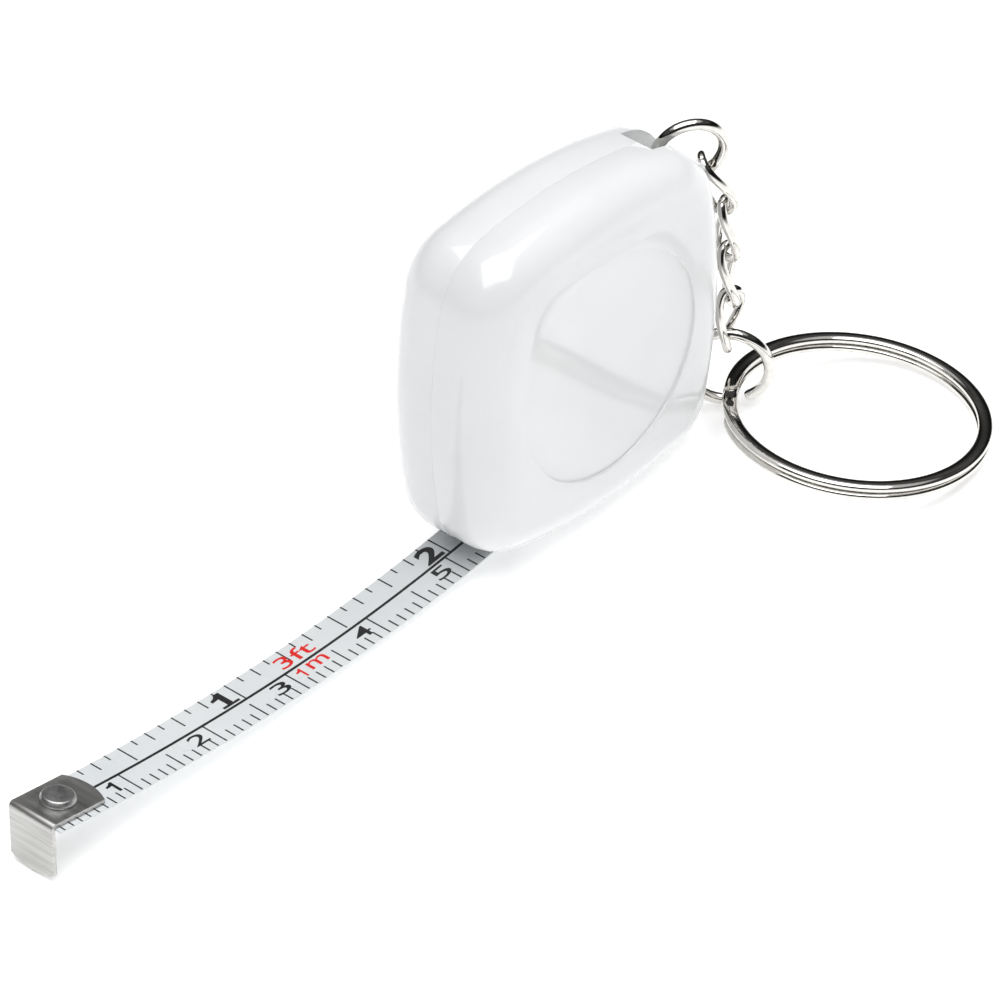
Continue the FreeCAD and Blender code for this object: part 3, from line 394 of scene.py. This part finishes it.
def add_lettering(bm, text, low, high, y_top, y_base, weight):
    """Characters fitted into a box on the tape, upright when the hook is on the left."""
    if text == "1":
        add_figure_one(bm, low, high, y_top, y_base, SLAB_ONE if weight > BOLD else PLAIN_ONE)
        return
    curve = bpy.data.curves.new("lettering", "FONT")
    curve.body = text
    curve.extrude = 0.01     # any height: the two levels are set below
    curve.offset = weight
    curve.resolution_u = 6
    holder = bpy.data.objects.new("lettering", curve)
    bpy.context.scene.collection.objects.link(holder)
    graph = bpy.context.evaluated_depsgraph_get()
    flat = bpy.data.meshes.new_from_object(holder.evaluated_get(graph))
    bpy.data.objects.remove(holder)
    xs = [v.co.x for v in flat.vertices]
    ys = [v.co.y for v in flat.vertices]
    left, right, base, top = min(xs), max(xs), min(ys), max(ys)
    for v in flat.vertices:
        share_x = (v.co.x - left) / (right - left)
        share_y = (v.co.y - base) / (top - base)
        along = low + (high - low) * share_x
        across = y_base + (y_top - y_base) * share_y
        v.co = tape_point(along, across, INK_HEIGHT if v.co.z > 0 else 0.0)
    bm.from_mesh(flat)


INCH = 25.4
LINE_HALF = 0.13            # half the thickness of the line between the two scales
LINE_Y = -0.1
MARK = 0.15                 # thickness of the division marks
FIRST_MARK = 1.0             # the hook covers the scale before this
# Length of a division mark as a share of its scale's width, by sixteenths of an inch and by millimetres.
INCH_SHARES = {16: 1.0, 8: 0.87, 4: 0.63, 12: 0.63, 2: 0.48, 6: 0.48, 10: 0.48, 14: 0.48}
SMALL_SHARE = 0.30
CENTIMETRE_SHARE, HALF_CENTIMETRE_SHARE, MILLIMETRE_SHARE = 1.0, 0.76, 0.40

# Figures: how many, gap to their mark, width, top and base across the tape, weight.
CENTIMETRE_FIGURES = (6, 0.75, 1.7, 0.25, 1.72, 0.004)
INCH_FIGURES = (2, 0.35, 2.1, -2.45, -0.38, 0.03)
# The red unit marks: text, place along the tape, top and base across it, weight.
UNIT_MARKS = (("3ft", 30.4, 34.4, -2.05, -0.5, 0.004), ("1", 30.5, 31.7, 0.22, 1.5, 0.0),
              ("m", 32.1, 34.2, 0.22, 1.25, 0.004))


def inch_marks():
    """Marks of the inch scale: place, and length as a share of the scale's width."""
    marks = []
    sixteenths = int(TAPE_LENGTH / INCH * 16)
    for count in range(1, sixteenths + 1):
        remainder = count % 16 or 16
        marks.append((count * INCH / 16, INCH_SHARES.get(remainder, SMALL_SHARE)))
    return marks


def centimetre_marks():
    """Marks of the metric scale, one each millimetre."""
    marks = []
    for count in range(1, int(TAPE_LENGTH)):
        if count % 10 == 0:
            share = CENTIMETRE_SHARE
        elif count % 5 == 0:
            share = HALF_CENTIMETRE_SHARE
        else:
            share = MILLIMETRE_SHARE
        marks.append((float(count), share))
    return marks


def add_figures(bm, low, high, unit, figures):
    """The figures 1, 2, 3 and so on before their marks, where they lie between low and high."""
    count, gap, width, y_top, y_base, weight = figures
    for number in range(1, count + 1):
        right = number * unit - gap
        if low <= right < high:
            add_lettering(bm, str(number), right - width, right, y_top, y_base, weight)


def build_scale(low, high):
    """The black print between two places on the tape."""
    bm = bmesh.new()
    far_edge, near_edge = -TAPE_HALF + EDGE_NICK, TAPE_HALF - EDGE_NICK
    inch_width = LINE_Y - far_edge
    metric_width = near_edge - LINE_Y
    for along, share in inch_marks():
        if low <= along < high:
            add_mark(bm, along - MARK / 2, along + MARK / 2, far_edge, far_edge + inch_width * share)
    for along, share in centimetre_marks():
        if low <= along < high:
            add_mark(bm, along - MARK / 2, along + MARK / 2, near_edge - metric_width * share, near_edge)
    add_mark(bm, low, high, LINE_Y - LINE_HALF, LINE_Y + LINE_HALF)
    add_figures(bm, low, high, 10, CENTIMETRE_FIGURES)
    add_figures(bm, low, high, INCH, INCH_FIGURES)
    return bm


def build_tape():
    """The drawn-out strip, in the part by the hook and the part that winds in, with its print."""
    wound_end = tape_point(TAPE_LENGTH, 0, 0)
    front_end = tape_point(FRONT_LENGTH, 0, 0)
    zones = (("front", TAPE_START, FRONT_LENGTH, "tape_end"),
             ("run", FRONT_LENGTH, TAPE_LENGTH, "case"))
    for zone, low, high, body in zones:
        bm = bmesh.new()
        skin_rings(bm, [tape_section(along) for along in steps_between(low, high)])
        strip = add_object(f"tape_{zone}", mesh_from(f"tape_{zone}", bm), body)
        strip.data.materials.append(ENAMEL)
        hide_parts("tape_blade")
        bm = build_scale(max(low, FIRST_MARK), high)
        scale = add_object(f"scale_{zone}", mesh_from(f"scale_{zone}", bm), body)
        scale.data.materials.append(BLACK_INK)
        pieces = [strip, scale]
        if zone == "run":
            bm = bmesh.new()
            for unit_mark in UNIT_MARKS:
                add_lettering(bm, *unit_mark)
            marks = add_object("length_marks", mesh_from("length_marks", bm), body)
            marks.data.materials.append(RED_INK)
            pieces.append(marks)
            for piece in pieces:
                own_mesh(piece)


# ---------------------------------------------------------------- rings and chain

def ring_axes(normal, towards):
    """Unit vectors in a ring's plane, the first towards a direction, and the ring's normal."""
    z = normal.normalized()
    x = (towards - z * towards.dot(z)).normalized()
    return x, z.cross(x), z


def wire_rings(points, tangents, radius, sides=20):
    """Circles of a swept wire, carried along the path without twisting."""
    rings = []
    across = None
    for point, tangent in zip(points, tangents):
        t = tangent.normalized()
        if across is None:
            across = t.orthogonal()
        across = (across - t * across.dot(t)).normalized()
        other = t.cross(across)
        ring = []
        for side in range(sides):
            turn = 2 * math.pi * side / sides
            ring.append(point + (across * math.cos(turn) + other * math.sin(turn)) * radius)
        rings.append(ring)
    return rings


def build_jump_ring(name, node, body, ring):
    """A bent wire ring with a small opening; its two ends are nipped off a little smaller."""
    x, y, _ = ring_axes(ring["normal"], ring["gap"])
    radius = ring["radius"] * MM
    start, end = RING_GAP / 2, 2 * math.pi - RING_GAP / 2
    wire = RING_WIRE / 2 * MM
    points, tangents = [], []
    steps = 120
    for index in range(steps + 1):
        turn = start + (end - start) * index / steps
        points.append(ring["centre"] + (x * math.cos(turn) + y * math.sin(turn)) * radius)
        tangents.append(y * math.cos(turn) - x * math.sin(turn))
    rings = wire_rings(points, tangents, wire)
    for end_index in (0, -1):
        centre = points[end_index]
        rings[end_index] = [centre + (p - centre) * (1 - RING_END_ROUNDING) for p in rings[end_index]]
    bm = bmesh.new()
    skin_rings(bm, rings)
    piece = add_object(name, mesh_from(name, bm, 50), body)
    piece.data.materials.append(NICKEL)
    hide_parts(node)


def on_ring(ring, towards):
    """The point of a ring's centre line that lies furthest in a direction."""
    x, _, _ = ring_axes(ring["normal"], towards)
    return ring["centre"] + x * ring["radius"] * MM


def smooth_loop(points, steps):
    """A closed Catmull-Rom curve through the points, with its tangents."""
    count = len(points)
    places, tangents = [], []
    for index in range(count):
        a, b, c, d = (points[(index + shift) % count] for shift in (-1, 0, 1, 2))
        for step in range(steps):
            t = step / steps
            places.append(0.5 * (2 * b + (c - a) * t + (2 * a - 5 * b + 4 * c - d) * t * t
                                 + (3 * b - a - 3 * c + d) * t ** 3))
            tangents.append(0.5 * ((c - a) + 2 * (2 * a - 5 * b + 4 * c - d) * t
                                   + 3 * (3 * b - a - 3 * c + d) * t * t))
    return places, tangents


def contact_points():
    """Where the links and the two rings bear on each other, from the top down, in a slight bow."""
    top = on_ring(CASE_RING, TOP_SIDE) + mm(0, 0, TOP_PLAY)
    bottom = on_ring(END_RING, BOTTOM_SIDE) - mm(0, 0, BOTTOM_PLAY)
    down = (bottom - top).normalized()
    first = top - down * RING_WIRE / 2 * MM
    last = bottom + down * RING_WIRE / 2 * MM
    outward = CHAIN_OUTWARD.normalized() * MM
    return [first.lerp(last, index / LINK_COUNT) + outward * bow
            for index, bow in enumerate(CHAIN_BOWS)]


def link_path(inner):
    """A twisted oval of wire about the origin, standing along Z: places and tangents."""
    half_length = (inner + LINK_SLACK) / 2 + LINK_WIRE / 2
    control = []
    corners, steps = 12, 8
    for index in range(corners):
        turn = 2 * math.pi * index / corners
        height = half_length * math.sin(turn)
        side = LINK_HALF_WIDTH * math.copysign(abs(math.cos(turn)) ** LINK_FULLNESS, math.cos(turn))
        lean = LINK_TWIST * height / (2 * half_length)
        control.append(Vector((side * math.cos(lean), side * math.sin(lean), height)) * MM)
    return smooth_loop(control, steps)


def build_chain():
    """Twisted curb links in a gently bowed run, each turned a little from the one above."""
    points = contact_points()
    inner = max((low - high).length for high, low in zip(points, points[1:])) / MM
    places, tangents = link_path(inner)
    for number, (high, low) in enumerate(zip(points, points[1:])):
        up = (high - low).normalized()
        x = (Vector((0, 1, 0)) - up * up.y).normalized()
        turned = Matrix.Rotation(LINK_TURN + number * LINK_STEP, 3, "Z")
        facing = Matrix((x, up.cross(x), up)).transposed() @ turned
        path = [(high + low) / 2 + facing @ place for place in places]
        directions = [facing @ tangent for tangent in tangents]
        bm = bmesh.new()
        skin_closed(bm, wire_rings(path, directions, LINK_WIRE / 2 * MM, sides=18))
        name = f"link_{number + 1}"
        piece = add_object(f"chain_{name}", mesh_from(name, bm, 60), name)
        piece.data.materials.append(NICKEL)
        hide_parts(f"chain_link_{number + 1}")


def build_key_ring():
    """A split ring: nearly two turns of flattened wire lying on each other."""
    lean_x, lean_y = KEY_RING_LEAN
    normal = Vector((lean_x, lean_y, math.sqrt(1 - lean_x ** 2 - lean_y ** 2)))
    x, y, z = ring_axes(normal, KEY_RING_START)
    section = []
    sides, steps = 28, 260
    for index in range(sides):
        across, upward = math.cos(2 * math.pi * index / sides), math.sin(2 * math.pi * index / sides)
        section.append((KEY_RING_WIDTH / 2 * math.copysign(abs(across) ** KEY_RING_FULLNESS, across),
                        KEY_RING_HEIGHT / 2 * math.copysign(abs(upward) ** KEY_RING_FULLNESS, upward)))
    rings = []
    for index in range(steps + 1):
        share = index / steps
        turn = 2 * math.pi * KEY_RING_TURNS * share
        lift = KEY_RING_PITCH * KEY_RING_TURNS * (share - 0.5)
        outward = x * math.cos(turn) + y * math.sin(turn)
        size = KEY_RING_END_SIZE if index in (0, steps) else 1.0
        ring = []
        for u, v in section:
            reach, height = KEY_RING_RADIUS + u * size, lift + v * size
            ring.append(KEY_RING_CENTRE + outward * reach * MM + z * height * MM)
        rings.append(ring)
    bm = bmesh.new()
    skin_rings(bm, rings)
    piece = add_object("key_ring", mesh_from("key_ring", bm, 50), "key_ring")
    piece.data.materials.append(NICKEL)
    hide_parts("split_ring")


# ---------------------------------------------------------------- floor, light and camera

FLOOR_SIZE = 3.0             # metres, half the floor's side
FLOOR_GLOW = 0.4             # a little light of its own keeps the floor near white
SURROUND = 0.6
# The surround's brightness by height, from the horizon to the zenith.
SKY_LEVELS = ((0.0, 0.9), (0.08, 0.7), (0.13, 0.015), (0.42, 0.015), (0.58, 0.14), (0.72, 0.06),
              (0.80, 0.9), (1.0, 1.0))
LIGHT_TARGET = (0, -0.01, 0.015)


def build_floor():
    """Pale paper with a barely uneven tone."""
    bm = bmesh.new()
    bmesh.ops.create_grid(bm, x_segments=8, y_segments=8, size=FLOOR_SIZE)
    mesh = bpy.data.meshes.new("floor")
    bm.to_mesh(mesh)
    bm.free()
    floor = bpy.data.objects.new("floor", mesh)
    bpy.context.scene.collection.objects.link(floor)
    paper = new_material("floor_paper", (0.9, 0.9, 0.9), 0.8)
    vary_colour(paper, noise_value(paper, 30), (0.89, 0.89, 0.89), (0.91, 0.91, 0.91))
    shader = paper.node_tree.nodes["Principled BSDF"]
    shader.inputs["Emission Color"].default_value = (1, 1, 1, 1)
    shader.inputs["Emission Strength"].default_value = FLOOR_GLOW
    shader.inputs["Specular IOR Level"].default_value = 0.1
    mesh.materials.append(paper)


def add_softbox(name, place, width, height, power):
    """A rectangular lamp that faces the object; sizes in metres, power in watts."""
    light = bpy.data.lights.new(name, "AREA")
    light.shape = "RECTANGLE"
    light.size, light.size_y = width, height
    light.energy = power
    holder = bpy.data.objects.new(name, light)
    holder.location = place
    holder.rotation_euler = (Vector(LIGHT_TARGET) - Vector(place)).to_track_quat("-Z", "Y").to_euler()
    bpy.context.scene.collection.objects.link(holder)
    return holder


def build_light():
    """A softbox above, three fills the metal does not mirror, and a surround with a dark band."""
    world = bpy.data.worlds.new("studio")
    bpy.context.scene.world = world
    world.use_nodes = True
    tree = world.node_tree
    background = tree.nodes["Background"]
    background.inputs["Strength"].default_value = SURROUND
    coordinates = tree.nodes.new("ShaderNodeTexCoord")
    split = tree.nodes.new("ShaderNodeSeparateXYZ")
    ramp = tree.nodes.new("ShaderNodeValToRGB")
    tree.links.new(coordinates.outputs["Generated"], split.inputs["Vector"])
    tree.links.new(split.outputs["Z"], ramp.inputs["Fac"])
    tree.links.new(ramp.outputs["Color"], background.inputs["Color"])
    ramp.color_ramp.elements[0].position = SKY_LEVELS[0][0]
    ramp.color_ramp.elements[1].position = SKY_LEVELS[-1][0]
    for position, _ in SKY_LEVELS[1:-1]:
        ramp.color_ramp.elements.new(position)
    for element, (_, level) in zip(ramp.color_ramp.elements, SKY_LEVELS):
        element.color = (level, level, level, 1)
    add_softbox("top_box", (0.05, 0.05, 0.7), 0.7, 0.7, 4.6)
    fills = (
        add_softbox("left_box", (0.1, 0.75, 0.35), 0.5, 0.5, 0.25),
        add_softbox("front_box", (0.8, -0.15, 0.3), 0.4, 0.5, 0.25),
        add_softbox("back_box", (-0.65, 0.05, 0.5), 0.5, 0.5, 1.5),
    )
    for fill in fills:
        fill.visible_glossy = False


def build_camera():
    """The photograph's viewpoint: a long lens from the front left, above the tape."""
    right = Vector((-0.66589, 0.74519, -0.03578))
    up = Vector((-0.48466, -0.39563, 0.78012))
    back = Vector((0.56718, 0.53682, 0.62461))
    place = mm(336.53, 315.41, 382.85)
    camera_data = bpy.data.cameras.new("camera")
    camera_data.lens = 255.03
    camera_data.sensor_width = 36.0
    camera_data.clip_start = 0.01
    camera = bpy.data.objects.new("camera", camera_data)
    turn = Matrix((right, up, back)).transposed().to_4x4()
    camera.matrix_world = Matrix.Translation(place) @ turn
    bpy.context.scene.collection.objects.link(camera)
    bpy.context.scene.camera = camera


dress_nodes()
build_moulded_and_stamped()
build_tape()
build_jump_ring("upper_jump_ring", "case_ring", "upper_ring", CASE_RING)
build_chain()
build_jump_ring("lower_jump_ring", "end_ring", "lower_ring", END_RING)
build_key_ring()
build_floor()
build_light()
build_camera()
bpy.context.scene.view_settings.view_transform = "Standard"
